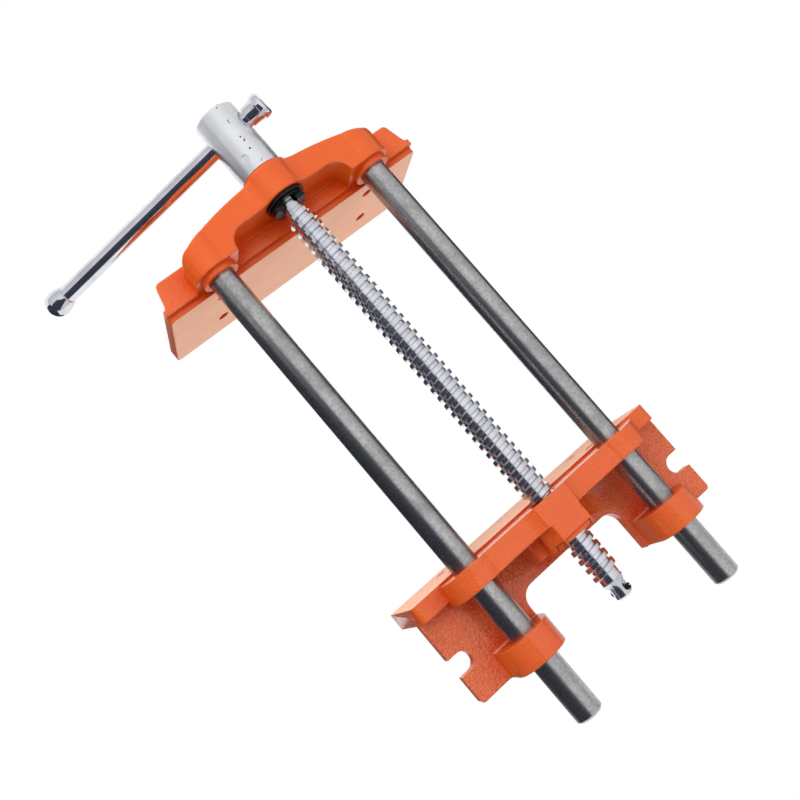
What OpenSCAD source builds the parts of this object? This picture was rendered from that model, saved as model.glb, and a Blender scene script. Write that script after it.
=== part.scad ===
// Quick-release bench vise for the front edge of a woodworking bench.
// The rear casting bolts under the bench top, and the front jaw slides on two guide rods.
// Origin: midway between the two bench bolt slots, on the face that seats against the bench.
// X runs along the jaws, Y from the front jaw to the rear one, and Z up to the jaw tops.

/* [Jaws] */
// Width of both jaws
jaw_w = 178; // [170:1:200]
// Height of the jaw tops above the bench seat
jaw_rise = 58; // [50:1:75]
// Distance between the jaw faces as shown
opening = 200; // [60:1:200]
// Thickness of the rear jaw plate
rear_plate_t = 10.5; // [9:0.5:12]
// Thickness of the front jaw plate
front_plate_t = 7; // [6:0.5:9]
// Radius of the screw holes for wooden jaw liners
liner_hole_r = 3.25; // [2.5:0.25:4]
// Height between the two rows of liner holes
liner_row_gap = 34; // [28:1:36]

/* [Guide rods] */
// Diameter of the guide rods
rod_d = 16; // [14:0.5:17]
// Distance between the guide rod axes
rod_spacing = 108; // [102:1:112]
// Depth of the rod axes below the bench seat
rod_drop = 26; // [25:0.5:30]
// Length of each guide rod behind the front jaw face
rod_reach = 299.5; // [290:0.5:320]

/* [Lead screw] */
// Outside diameter of the thread
thread_d = 16; // [15:0.5:16.5]
// Root diameter of the thread
root_d = 12.4; // [11.6:0.1:13]
// Pitch of the single-start right-hand thread
pitch = 5.7; // [5:0.1:6.4]
// Depth of the screw axis below the rod axes
screw_drop = 7; // [6:0.5:8]
// Diameter of the spindle head
head_d = 26; // [24:0.5:28]
// Length of the spindle head
head_l = 44; // [38:0.5:50]

/* [Handle] */
// Diameter of the handle bar
bar_d = 10.5; // [9:0.5:12]
// Distance between the centres of the two end knobs
bar_span = 162.5; // [140:0.5:190]
// Diameter of the end knobs
knob_d = 15.5; // [14:0.5:18]
// Tilt of the bar from the level line
bar_tilt = 26.7; // [0:0.1:45]

/* [Bench mounting] */
// Thickness of the mounting plate
seat_t = 8; // [7:0.5:9]
// Width of the mounting plate
seat_w = 180; // [178:1:200]
// Distance from the rear jaw face to the bolt slots
slot_back = 39; // [37:0.5:41]
// Width of each bolt slot
slot_w = 11.5; // [9:0.5:13]

/* [Hidden] */

// Finish colours
enamel = [0.93, 0.36, 0.12];
dark_steel = [0.27, 0.27, 0.28];
bright_steel = [0.80, 0.81, 0.83];
zinc = [0.70, 0.71, 0.73];
blackened = [0.10, 0.10, 0.11];

// Fits and cuts
over = 1;               // overrun of every cut past the face that it leaves
run_fit = 0.05;         // radial clearance of a shaft that slides or turns
pass_gap = 0.6;         // radial clearance of a hole that a shaft only passes through
seat_gap = 0.3;         // gap between parts that move past each other
fine = 64;              // facets asked of a round face

// Levels and axes
rod_r = rod_d / 2;
rod_x = rod_spacing / 2;
rod_z = -rod_drop;
screw_z = rod_z - screw_drop;
thread_r = thread_d / 2;
root_r = root_d / 2;
shank_r = 5.5;
rear_y = -slot_back;
front_y = rear_y - opening;
seat_low = -seat_t;

// Jaw plates, with heights taken from the rod axes
rear_face_low = 10;     // lower edge of the rear jaw face
front_face_low = 13;    // lower edge of the front jaw face
jaw_corner_r = 3;       // round of the plates' corners
liner_row_low = 27;     // lower row of liner holes

// Rear casting, with depths taken from the rear jaw face
beam_step = 1.2;        // the cross beam stands back from the machined face
beam_back = 14;         // rear side of the cross beam
beam_wall = 8.5;        // metal around each rod at the beam's ends
beam_low = 14;          // underside of the beam below the rod axes
beam_fillet = 16;       // fillet between the beam's underside and its round under the screw
ear_front = 46;         // front side of the rear ears
ear_t = 16;             // thickness of the rear ears
ear_wall = 7.5;         // metal around each rod in the ears
plate_corner_r = 2;     // round of the mounting plate's rear corners
window_front = 33;      // front side of the opening between the ears
window_r = 9;           // round of that opening's corners
window_lip = 1.5;       // the mounting plate reaches this far past the ears' inner sides
cast_fillet = 3;        // fillet between a strap and the underside of the plate
groove_h = 2.5;         // height of the groove under the rear jaw face
groove_deep = 3;        // depth of that groove from the jaw face
slot_depth = 11.5;      // depth of each bolt slot from the plate's end
seat_back = ear_front + ear_t;
window_half = rod_x - rod_r - ear_wall - window_lip;
beam_half = rod_x + rod_r + beam_wall + cast_fillet;

// Nut housing behind the cross beam
housing_back = 26.5;    // rear face of the housing
housing_left = 21.5;    // left side of the housing at the beam, from the screw axis
housing_left_back = 20.5; // the same side at the rear face
housing_right = 17;     // right side of the housing at the beam
housing_right_back = 13; // the same side at the rear face
housing_r = 15.5;       // round of the housing and the beam under the screw
housing_floor = 1.5;    // underside of the housing's left part above the rod axes
housing_fillet = 3;     // fillet between that underside and the round
pocket_front = 8;       // front wall of the nut pocket
pocket_toe = [-11.4, -1]; // lower left corner of the nut pocket, from the screw axis and the rod axes
pocket_heel = [-15, 6]; // next corner above it
lug_low = 6.5;          // underside of the pivot lug above the rod axes
lug_right = 24.2;       // right side of the pivot lug from the screw axis
pivot_x = 18;           // pivot pin from the screw axis
pivot_up = 13.4;        // pivot pin above the rod axes
pivot_r = 2.25;         // radius of the pivot pin
pivot_seat = 4;         // depth of the pin's hole in the pocket's front wall
cover_t = 2.5;          // thickness of the nut cover plate
cover_rim = 1.4;        // metal of the housing around the recess for the cover
cover_gap = 0.2;        // gap round the cover in its recess
cover_screw_r = 1.25;   // shank radius of the cover screws
cover_screw_l = 9;      // shank length of the cover screws in the housing
cover_head_r = 2.3;     // head radius of the cover screws
cover_head_h = 1.4;     // depth of their countersunk heads
cover_screw_at = 11.2;  // cover screws from the screw axis
cover_screw_turn = 45;  // cover screws from the downward line
hex_key_r = 1.1;        // socket in the head of each cover screw
hex_key_h = 0.9;        // depth of that socket

// Half nut and its spring
nut_r = 12.5;           // outside radius of the half nut
nut_eye_r = 4;          // radius of the eye around the pivot pin
nut_from = 70;          // first angle of the nut's arc round the screw
nut_to = 150;           // last angle of the nut's arc round the screw
nut_elbow = [9, 8.4];   // bend under the nut's arm, from the screw axis and the rod axes
nut_shoulder = [6, 14]; // bend over the nut's arm
nut_rows = 2;           // rows of teeth
tooth_gap = 0.4;        // clearance of a tooth in the thread
tooth_root = 0.5;       // depth to which a tooth is rooted in the nut
tooth_from = 76;        // first angle of the teeth
tooth_to = 146;         // last angle of the teeth
tooth_steps = 10;       // facets along a tooth
spring_x = -3;          // spring axis from the screw axis
spring_pad_up = 7.5;    // flat on the nut that carries the spring, above the rod axes
spring_pad_r = 3.4;     // half width of that flat
spring_coil_r = 2.5;    // mean radius of the spring
spring_wire_r = 0.45;   // radius of its wire
spring_turns = 5;
spring_flat = 0.7;      // share of a turn that lies flat at each end of the spring
spring_facets = 16;     // facets of the spring in a turn
spring_sides = 6;       // sides of its wire
spring_well = 4;        // depth of the spring's seat in the mounting plate
spring_play = 0.05;     // play at the spring's ends
nut_front = pocket_front + seat_gap;
pocket_back = housing_back - cover_t;
nut_back = pocket_back - seat_gap;
nut_bore_r = thread_r + pass_gap;
spring_y = rear_y + (pocket_front + pocket_back) / 2;

// Front casting, with depths taken forwards from the front jaw face
ledge_low = 10;         // underside of the ledge above the rod axes
ledge_t = 6;            // thickness of the ledge
lug_reach = 22;         // front side of the end lugs
lug_inset = 6;          // the lugs' corners from the jaw's ends
lug_corner_r = 3;       // round of those corners
lug_fillet = 3;         // fillet between a lug's side and the jaw plate
arch_half = 68;         // half length of the arched wall
arch_crown = 31;        // crown of the arched wall
arch_foot = 21;         // ends of the arched wall
arch_corner_r = 7;      // round of the arched wall's ends
arch_low = 13;          // underside of the arched wall below the rod axes
belly_r = 14.2;         // round of the wall under the screw
belly_fillet = 16;      // fillet between that round and the wall's underside
trough_front = 14.5;    // inner side of the arched wall
trough_half = 40;       // half length of the trough, whose ends are round
trough_step_t = 3;      // width of the step along the trough
trough_step_h = 2;      // height of that step
boss_r = 14;            // round of the rod bosses
boss_back = 4;          // machined back face of the rod bosses
neck_r = 11.2;          // collar of each rod boss
neck_back = 0.5;        // end of that collar
rod_seat = 17;          // end of the blind rod bores
hub_front = 32;         // front face of the screw hub
hub_r = 14.5;           // radius of the hub at its front face
hub_root_r = 14;        // radius of the hub at the trough
rib_t = 6;              // thickness of the ribs
rib_x = 27;             // middle of the tall ribs from the screw axis
rib_root = 26;          // foot of the tall ribs
rib_top = 74;           // top of the tall ribs above the rod axes
gusset_top = 60;        // top of the end gussets above the rod axes
rim_t = 5;              // height of the rim along the jaw's top
rim_deep = 11;          // front side of that rim

// Pins that lock the rods in the front jaw
rod_pin_r = 2.5;
rod_pin_bore_r = 1.2;
rod_pin_y = 11;         // pins from the front jaw face
rod_pin_low = 10.5;     // lower end of the pins below the rod axes

// Lead screw, with places taken from the front jaw face
thread_start = -5;
thread_end = 256.5;
tail_end = 267.5;
tail_r = 5;
tail_chamfer = 1;
crest_share = 0.45;     // share of the pitch that the crest of the thread takes
foot_share = 0.7;       // share of the pitch that the foot of the thread takes
thread_steps = 16;      // facets of the thread in a turn
thread_bite = 0.5;      // overlap of the thread's core with the shank and the tail
shank_in_head = 19;     // length of the shank inside the spindle head
head_chamfer = 1.2;
head_pin_r = 2.5;
head_pin_in = 9;        // head pin from the hub
bar_in = 14;            // bar axis from the outer end of the head
bar_gap = 0.3;          // radial clearance of the bar in the head
washer_r = 12.3;
washer_t = 2;
spring_washer_r = 10;
spring_washer_t = 1;
washer_gap = 0.2;       // radial clearance of the washers on the shank
clip_r = 10.8;          // outside radius of the retaining clip
clip_t = 3.2;           // thickness of the clip
clip_groove_r = 4.8;    // radius of the groove that holds the clip
clip_grip = 4.2;        // half width of the clip's open side
clip_ends = 5;          // ends of the clip below the screw axis
tail_cone_r = 7;        // large radius of the cone between the thread and the tail
tail_cone_l = 3.5;      // length of that cone
tail_pin_r = 1.75;
tail_pin_l = 13;
tail_pin_in = 3.8;      // tail pin from the end of the screw
tail_pin_turn = -25;    // turn of the tail pin from the vertical
tail_pin_slit = 0.6;    // slit of the tail pin
clip_y = -trough_front + washer_t + spring_washer_t;
hub_face = front_y - hub_front;
bar_y = hub_face - head_l + bar_in;

// Handle
bar_short = 22.5;       // short end's knob centre from the screw axis
knob_lip_r = 6.2;       // radius of both knobs where they meet the bar
knob_long_l = 7.5;      // length of the long knob from its lip to its widest place
knob_long_tip = 7;      // length from there to its blunt tip
knob_neck_l = 8;        // length of the short knob from its lip to its widest place
knob_short_tip = 4.5;   // length from there to its flat end
knob_edge_r = 2.5;      // round of that end's edge
knob_steps = 8;         // facets along each curve of a knob's profile
rod_chamfer = 1.2;

// Points along an arc from angle a0 to angle a1
function arc_points(x, y, r, a0, a1, n) =
    [for (i = [0 : n]) let (a = a0 + (a1 - a0) * i / n) [x + r * cos(a), y + r * sin(a)]];

// The same points with their other coordinate first in sign
function mirrored(points) = [for (i = [len(points) - 1 : -1 : 0]) [-points[i][0], points[i][1]]];

// Thickens a shape drawn in X and Z from y0 to y1
module slab_xz(y0, y1) {
    translate([0, y1, 0]) rotate([90, 0, 0]) linear_extrude(y1 - y0) children();
}

// Thickens a shape drawn in X and Y from z0 to z1
module slab_xy(z0, z1) {
    translate([0, 0, z0]) linear_extrude(z1 - z0) children();
}

// Round bar or bore along Y, from y0 to y1, that may taper from r0 to r1
module round_y(x, z, y0, y1, r0, r1) {
    translate([x, y0, z]) rotate([-90, 0, 0]) cylinder(r1 = r0, r2 = r1, h = y1 - y0, $fn = fine);
}

// Round bar along the local Z with a chamfer at both ends
module chamfered_bar(r, l, chamfer) {
    rotate_extrude($fn = fine)
        polygon([[0, 0], [r - chamfer, 0], [r, chamfer], [r, l - chamfer], [r - chamfer, l], [0, l]]);
}

// Jaw plate outline in X and Z with round corners
module jaw_outline(low) {
    x = jaw_w / 2 - jaw_corner_r;
    r = jaw_corner_r;
    right = concat(arc_points(x, low + r, r, -90, 0, 4), arc_points(x, jaw_rise - r, r, 0, 90, 4));
    polygon(concat(right, mirrored(right)));
}

// Right half of a level underside that dips round the screw, in X and Z
function dip(r, fillet, low) = let (
        fillet_z = rod_z - low - fillet,
        reach = r + fillet,
        bow = asin((screw_z - fillet_z) / reach))
    concat(
        arc_points(0, screw_z, r, 270, 360 - bow, 8),
        arc_points(reach * cos(bow), fillet_z, fillet, 180 - bow, 90, 6));

// Strap in X and Z that hangs from the mounting plate by two fillets and closes round a bore
module strap(x, z, r, left_fillet, right_fillet) {
    polygon(concat(
        arc_points(x, z, r, 180, 360, 20),
        arc_points(x + r + right_fillet, seat_low - right_fillet, right_fillet, 180, 90, 5),
        [[x + r + right_fillet, seat_low + over], [x - r - left_fillet, seat_low + over]],
        arc_points(x - r - left_fillet, seat_low - left_fillet, left_fillet, 90, 0, 5)));
}

// Liner holes through a jaw plate between y0 and y1
module liner_holes(y0, y1) {
    for (side = [-1, 1], row = [0, 1])
        round_y(side * rod_x, rod_z + liner_row_low + row * liner_row_gap, y0, y1, liner_hole_r, liner_hole_r);
}

// Rear casting

module mounting_plate_outline() {
    half = seat_w / 2;
    r = plate_corner_r;
    right = concat(
        [[0, window_front]],
        arc_points(window_half - window_r, window_front + window_r, window_r, -90, 0, 6),
        [[window_half, seat_back]],
        arc_points(half - r, seat_back - r, r, 90, 0, 4),
        [[half, rear_plate_t / 2]]);
    polygon(concat(right, mirrored(right)));
}

module bolt_slot(side) {
    tip = seat_w / 2 - slot_depth + slot_w / 2;
    slab_xy(seat_low - over, over) {
        translate([side * tip, slot_back]) circle(r = slot_w / 2, $fn = fine);
        translate([side > 0 ? tip : -seat_w / 2 - over, slot_back - slot_w / 2])
            square([seat_w / 2 + over - tip, slot_w]);
    }
}

module beam_outline() {
    for (side = [-1, 1]) strap(side * rod_x, rod_z, rod_r + beam_wall, cast_fillet, cast_fillet);
    right = concat(dip(housing_r, beam_fillet, beam_low), [[rod_x, rod_z - beam_low], [rod_x, seat_low + over]]);
    polygon(concat(right, mirrored(right)));
}

// Outline of the nut housing and its pivot lug from the rear, drawn in by the given inset
module housing_outline(inset, left, right, top) {
    r = housing_r - inset;
    low = rod_z + lug_low + inset;
    fillet_z = rod_z + housing_floor - housing_fillet;
    reach = housing_r + housing_fillet;
    bow = asin((fillet_z - screw_z) / reach);
    polygon(concat(
        [[-left + inset, top], [-left + inset, rod_z + housing_floor + inset]],
        arc_points(-reach * cos(bow), fillet_z, housing_fillet + inset, 90, -bow, 6),
        arc_points(0, screw_z, r, 180 - bow, 270 + asin(min(1, (right - inset) / r)), 24),
        [[right - inset, low], [lug_right - inset, low], [lug_right - inset, top]]));
}

// The housing's boss from above, narrower at the rear
module housing_plan() {
    polygon([[-housing_left, beam_back - over], [housing_right, beam_back - over], [housing_right, beam_back],
        [housing_right_back, housing_back], [-housing_left_back, housing_back], [-housing_left, beam_back]]);
}

module nut_housing() {
    intersection() {
        slab_xy(screw_z - housing_r - over, seat_low + over) housing_plan();
        slab_xz(beam_back - over, housing_back)
            housing_outline(0, housing_left, housing_right, seat_low + over);
    }
    translate([0, beam_back - over, rod_z + lug_low])
        cube([lug_right, housing_back - beam_back + over, rod_drop - seat_t - lug_low + over]);
}

// Room in which the half nut rests and swings
module nut_pocket() {
    slab_xz(pocket_front, housing_back + over) {
        polygon([
            [0, screw_z], [nut_bore_r / 2, screw_z + nut_bore_r - over],
            [nut_elbow[0], rod_z + nut_elbow[1] - seat_gap], [pivot_x, rod_z + pivot_up - nut_eye_r - seat_gap],
            [pivot_x, seat_low], [pocket_heel[0], seat_low], [pocket_heel[0], rod_z + pocket_heel[1]],
            [pocket_toe[0], rod_z + pocket_toe[1]]]);
        translate([pivot_x, rod_z + pivot_up]) circle(r = nut_eye_r + seat_gap, $fn = fine);
    }
}

// Places its children at one of the two cover screws
module at_cover_screw(side) {
    a = 270 + side * cover_screw_turn;
    translate([cover_screw_at * cos(a), 0, screw_z + cover_screw_at * sin(a)]) children();
}

module rear_jaw() color(enamel) translate([0, rear_y, 0]) difference() {
    union() {
        slab_xz(0, rear_plate_t) jaw_outline(rod_z + rear_face_low);
        slab_xy(seat_low, 0) mounting_plate_outline();
        slab_xz(beam_step, beam_back) beam_outline();
        nut_housing();
        for (side = [-1, 1])
            slab_xz(ear_front, seat_back) strap(side * rod_x, rod_z, rod_r + ear_wall,
                side < 0 ? cast_fillet : window_lip, side < 0 ? window_lip : cast_fillet);
    }
    for (side = [-1, 1]) {
        round_y(side * rod_x, rod_z, -over, seat_back + over, rod_r + run_fit, rod_r + run_fit);
        bolt_slot(side);
        at_cover_screw(side) round_y(0, 0, housing_back - cover_screw_l, housing_back + over,
            cover_screw_r, cover_screw_r);
        translate([-beam_half - over, -over, rod_z + rear_face_low - groove_h])
            cube([2 * (beam_half + over), groove_deep + over, groove_h]);
    }
    liner_holes(-over, rear_plate_t + over);
    round_y(0, screw_z, -over, housing_back + over, thread_r + pass_gap, thread_r + pass_gap);
    nut_pocket();
    slab_xz(pocket_back, housing_back + over)
        housing_outline(cover_rim, housing_left_back, housing_right_back, seat_low);
    round_y(pivot_x, rod_z + pivot_up, pocket_front - pivot_seat, pocket_front + over, pivot_r, pivot_r);
    translate([spring_x, spring_y - rear_y, seat_low - seat_gap - over])
        cylinder(r = spring_coil_r + spring_wire_r + seat_gap, h = spring_well + seat_gap + over, $fn = fine);
}

// Front casting

// Triangular rib of thickness t on the front side of the jaw plate
module rib(x, t, foot, top) {
    translate([x - t / 2, 0, 0]) rotate([90, 0, 90]) linear_extrude(t) polygon([
        [-front_plate_t / 2, rod_z + ledge_low], [-foot, rod_z + ledge_low],
        [-foot, rod_z + ledge_low + ledge_t], [-front_plate_t, rod_z + top], [-front_plate_t / 2, rod_z + top]]);
}

// Arched wall and rod bosses, seen from above
module arch_outline() {
    c = arch_corner_r;
    s = arch_crown - arch_foot;
    r = ((arch_half - c) * (arch_half - c) + s * s) / (2 * s);
    bow = asin((arch_half - c) / r);
    t = trough_front - boss_back;
    right = concat(
        arc_points(0, r - arch_crown, r, 270, 270 + bow, 8),
        arc_points(arch_half - c, -arch_foot + c, c, bow - 90, 0, 5),
        [[arch_half, -boss_back]],
        arc_points(trough_half - t, -boss_back, t, 0, -90, 6),
        [[0, -trough_front]]);
    polygon(concat(right, mirrored(right)));
}

// The same wall and bosses, seen from the rear
module arch_profile() {
    top = rod_z + ledge_low + ledge_t;
    right = concat(
        dip(belly_r, belly_fillet, arch_low),
        arc_points(rod_x, rod_z, boss_r, 270 - acos(arch_low / boss_r), 360, 12),
        [[rod_x + boss_r, top], [0, top]]);
    polygon(concat(right, mirrored(right)));
}

// Ledge that joins the plate and the wall, with a lug at each end, seen from above
module ledge_outline() {
    half = jaw_w / 2;
    side = half - lug_fillet;
    foot = -front_plate_t - lug_fillet;
    r = lug_corner_r;
    lean = atan2(lug_inset - lug_fillet, lug_reach + foot);
    corner = half - lug_inset - r * tan((90 - lean) / 2);
    right = concat(
        [[0, -lug_reach]],
        arc_points(corner, -lug_reach + r, r, -90, -lean, 5),
        arc_points(half, foot, lug_fillet, 180, 90, 4),
        [[half, -front_plate_t / 2], [0, -front_plate_t / 2]]);
    polygon(concat(right, mirrored(right)));
}

module front_jaw() color(enamel) translate([0, front_y, 0]) difference() {
    union() {
        slab_xz(-front_plate_t, 0) jaw_outline(rod_z + front_face_low);
        slab_xy(rod_z + ledge_low, rod_z + ledge_low + ledge_t) ledge_outline();
        intersection() {
            slab_xy(screw_z - belly_r - over, rod_z + ledge_low + ledge_t) arch_outline();
            slab_xz(-arch_crown - over, 0) arch_profile();
        }
        round_y(0, screw_z, -hub_front, -trough_front, hub_r, hub_root_r);
        for (side = [-1, 1]) {
            round_y(side * rod_x, rod_z, -boss_back - over, -neck_back, neck_r, neck_r);
            rib(side * rib_x, rib_t, rib_root, rib_top);
            rib(side * (jaw_w / 2 - lug_inset - rib_t), rib_t, lug_reach, gusset_top);
            translate([side > 0 ? 0 : -trough_half, -trough_front - over, rod_z + ledge_low - trough_step_h])
                cube([trough_half, trough_step_t + over, trough_step_h + over]);
        }
        translate([-jaw_w / 2 + jaw_corner_r, -rim_deep, jaw_rise - rim_t])
            cube([jaw_w - 2 * jaw_corner_r, rim_deep - front_plate_t / 2, rim_t]);
    }
    for (side = [-1, 1]) {
        round_y(side * rod_x, rod_z, -rod_seat, over, rod_r, rod_r);
        translate([side * rod_x, -rod_pin_y, rod_z - rod_pin_low])
            cylinder(r = rod_pin_r, h = rod_pin_low + ledge_low + ledge_t + over, $fn = fine);
    }
    round_y(0, screw_z, -hub_front - over, over, shank_r + run_fit, shank_r + run_fit);
    liner_holes(-front_plate_t - over, over);
}

// Guide rods and the pins that lock them

module guide_rod(side) color(dark_steel) difference() {
    translate([side * rod_x, front_y - rod_seat, rod_z]) rotate([-90, 0, 0])
        chamfered_bar(rod_r, rod_seat + rod_reach, rod_chamfer);
    translate([side * rod_x, front_y - rod_pin_y, rod_z - rod_r - over])
        cylinder(r = rod_pin_r, h = rod_d + 2 * over, $fn = fine);
}

module rod_pin(side) color(zinc) {
    h = rod_pin_low + ledge_low + ledge_t;
    translate([side * rod_x, front_y - rod_pin_y, rod_z - rod_pin_low]) difference() {
        cylinder(r = rod_pin_r, h = h, $fn = fine);
        translate([0, 0, -over]) cylinder(r = rod_pin_bore_r, h = h + 2 * over, $fn = fine);
    }
}

// Lead screw

// Places in the thread's profile along the screw, and the radius at each place
profile_at = [0, (foot_share - crest_share) / 2 * pitch, (foot_share + crest_share) / 2 * pitch, foot_share * pitch];
profile_r = [root_r, thread_r, thread_r, root_r];
thread_l = thread_end - thread_start;
thread_turns = floor(thread_l / pitch - foot_share);
thread_lead = (thread_l - (thread_turns + foot_share) * pitch) / 2;

function ring(r, z) = [for (i = [0 : thread_steps - 1]) let (a = 360 * i / thread_steps) [r * cos(a), r * sin(a), z]];

// Single-start thread with its core, along the local Z, as one closed skin
module threaded_bar() {
    n = thread_steps;
    steps = thread_turns * n;
    skin = [for (i = [0 : steps], j = [0 : 3]) let (a = 360 * i / n)
        [profile_r[j] * cos(a), profile_r[j] * sin(a), thread_lead + pitch * i / n + profile_at[j]]];
    foot = len(skin);
    tip = foot + n;
    strips = [for (i = [0 : steps - 1], j = [0 : 2])
        [[4 * i + j, 4 * i + j + 1, 4 * i + j + 4], [4 * i + j + 1, 4 * i + j + 5, 4 * i + j + 4]]];
    lands = [for (i = [0 : steps - n - 1]) let (k = 4 * i, m = 4 * (i + n))
        [[k + 3, m, m + 4], [k + 3, m + 4, k + 7]]];
    foot_walls = [for (i = [0 : n - 2]) [[foot + i, 4 * i, 4 * i + 4], [foot + i, 4 * i + 4, foot + i + 1]]];
    tip_walls = [for (i = [1 : n - 1]) let (k = 4 * (steps - n + i) + 3)
        [[k, tip + i, tip + (i + 1) % n], [k, tip + (i + 1) % n, k + 4]]];
    foot_corner = foot + n - 1;
    tip_corner = tip + 1;
    thread_back = 4 * (steps - n) + 3;
    seams = [
        [foot_corner, 4 * (n - 1), 4 * n], [foot_corner, 4 * n, 3], [foot_corner, 3, 0], [foot_corner, 0, foot],
        [tip_corner, thread_back + 4, thread_back], [tip_corner, thread_back, 4 * steps],
        [tip_corner, 4 * steps, 4 * steps + 3], [tip_corner, 4 * steps + 3, tip],
        [0, 3, 2], [0, 2, 1], [4 * steps, 4 * steps + 1, 4 * steps + 2], [4 * steps, 4 * steps + 2, 4 * steps + 3]];
    discs = [for (i = [1 : n - 2]) [[foot, foot + i, foot + i + 1], [tip, tip + i + 1, tip + i]]];
    polyhedron(concat(skin, ring(root_r, 0), ring(root_r, thread_l)), concat(seams,
        [for (pairs = [strips, lands, foot_walls, tip_walls, discs], pair = pairs, face = pair) face]));
}

// Cross hole or pin through the screw at height 0, at the given turn from the vertical
module cross_pin(r, l, turn) {
    rotate([0, turn, 0]) translate([0, 0, -l / 2]) cylinder(r = r, h = l, $fn = fine);
}

module at_screw(y) {
    translate([0, front_y + y, screw_z]) children();
}

// Plain shank between the spindle head and the thread
module shank() {
    difference() {
        round_y(0, screw_z, hub_face - shank_in_head, front_y + thread_start + thread_bite, shank_r, shank_r);
        at_screw(clip_y) difference() {
            round_y(0, 0, 0, clip_t, shank_r + over, shank_r + over);
            round_y(0, 0, -over, clip_t + over, clip_groove_r, clip_groove_r);
        }
        at_screw(-hub_front - head_pin_in) cross_pin(head_pin_r, head_d, bar_tilt);
    }
}

// Plain tail behind the thread
module tail() {
    l = tail_end - thread_end;
    difference() {
        at_screw(thread_end) rotate([-90, 0, 0]) {
            translate([0, 0, -thread_bite]) cylinder(r1 = tail_cone_r, r2 = tail_r, h = tail_cone_l, $fn = fine);
            cylinder(r = tail_r, h = l - tail_chamfer, $fn = fine);
            translate([0, 0, l - tail_chamfer])
                cylinder(r1 = tail_r, r2 = tail_r - tail_chamfer, h = tail_chamfer, $fn = fine);
        }
        at_screw(tail_end - tail_pin_in) cross_pin(tail_pin_r, tail_pin_l, tail_pin_turn);
    }
}

module lead_screw() color(bright_steel) {
    at_screw(thread_start) rotate([-90, 0, 0]) threaded_bar();
    shank();
    tail();
}

module spindle_head() color(zinc) difference() {
    translate([0, hub_face, screw_z]) rotate([90, 0, 0]) chamfered_bar(head_d / 2, head_l, head_chamfer);
    round_y(0, screw_z, hub_face - shank_in_head, hub_face + over, shank_r, shank_r);
    at_screw(-hub_front - head_pin_in) cross_pin(head_pin_r, head_d + over, bar_tilt);
    along_bar() translate([0, 0, -head_d]) cylinder(r = bar_d / 2 + bar_gap, h = 2 * head_d, $fn = fine);
}

module head_pin() color(zinc) at_screw(-hub_front - head_pin_in) cross_pin(head_pin_r, head_d - over, bar_tilt);

module washer(y, r, t) {
    difference() {
        round_y(0, screw_z, y, y + t, r, r);
        round_y(0, screw_z, y - over, y + t + over, shank_r + washer_gap, shank_r + washer_gap);
    }
}

module thrust_washer() color(blackened) washer(front_y - trough_front, washer_r, washer_t);

module spring_washer() color(blackened)
    washer(front_y - trough_front + washer_t, spring_washer_r, spring_washer_t);

// Clip that snaps into the groove of the shank, open on its lower side
module neck_clip() color(blackened)
    at_screw(clip_y) slab_xz(0, clip_t) difference() {
        circle(r = clip_r, $fn = fine);
        circle(r = clip_groove_r, $fn = fine);
        translate([-clip_grip, -clip_r - over]) square([2 * clip_grip, clip_r + over]);
        translate([-clip_r - over, -clip_r - over]) square([2 * (clip_r + over), clip_r + over - clip_ends]);
    }

// Split pin with its slit and a rolled eye at one end
module tail_pin() color(blackened) at_screw(tail_end - tail_pin_in) difference() {
    cross_pin(tail_pin_r, tail_pin_l, tail_pin_turn);
    rotate([0, tail_pin_turn, 0]) translate([-tail_pin_r - over, -tail_pin_slit / 2, -tail_pin_l / 2 - over])
        cube([2 * (tail_pin_r + over), tail_pin_slit, tail_pin_l / 2 + over - shank_r]);
}

// Handle

// Places its children on the bar's axis, with the local Z toward the long end
module along_bar() {
    translate([0, bar_y, screw_z]) rotate([0, bar_tilt - 90, 0]) children();
}

module handle_bar() color(bright_steel) along_bar()
    translate([0, 0, -bar_short]) cylinder(r = bar_d / 2, h = bar_span, $fn = fine);

// Turned knob on the local Z, given by its outline from the axis, and bored for the bar's end
module knob(lip_z, outline) {
    difference() {
        rotate_extrude($fn = fine) polygon(concat([[0, lip_z]], outline));
        translate([0, 0, lip_z - over]) cylinder(r = bar_d / 2, h = over - lip_z, $fn = fine);
    }
}

// Egg-shaped knob at the long end
module handle_knob_long() color(bright_steel) {
    r = knob_d / 2;
    swell = [for (i = [0 : knob_steps]) let (a = 90 * i / knob_steps)
        [knob_lip_r + (r - knob_lip_r) * sin(a), -knob_long_l * (1 - i / knob_steps)]];
    tip = [for (i = [1 : 2 * knob_steps]) let (a = 45 * i / knob_steps) [r * cos(a), knob_long_tip * sin(a)]];
    along_bar() translate([0, 0, bar_span - bar_short]) knob(-knob_long_l, concat(swell, tip));
}

// Flared knob with a flat end at the short end
module handle_knob_short() color(bright_steel) {
    r = knob_d / 2;
    flare = [for (i = [0 : knob_steps]) let (a = 90 * i / knob_steps)
        [knob_lip_r + (r - knob_lip_r) * (1 - cos(a)), -knob_neck_l + knob_neck_l * sin(a)]];
    edge = arc_points(r - knob_edge_r, knob_short_tip - knob_edge_r, knob_edge_r, 0, 90, knob_steps);
    along_bar() translate([0, 0, -bar_short]) rotate([180, 0, 0])
        knob(-knob_neck_l, concat(flare, edge, [[0, knob_short_tip]]));
}

// Half nut with its pivot, spring and cover

// Lowest place at which a row of teeth fits the thread's grooves inside the nut, taken where the angle is 0
groove_y = front_y + thread_start + thread_lead + (1 + foot_share) * pitch / 2;
tooth_y = groove_y + pitch * ceil((rear_y + nut_front + pitch - groove_y) / pitch);

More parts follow.
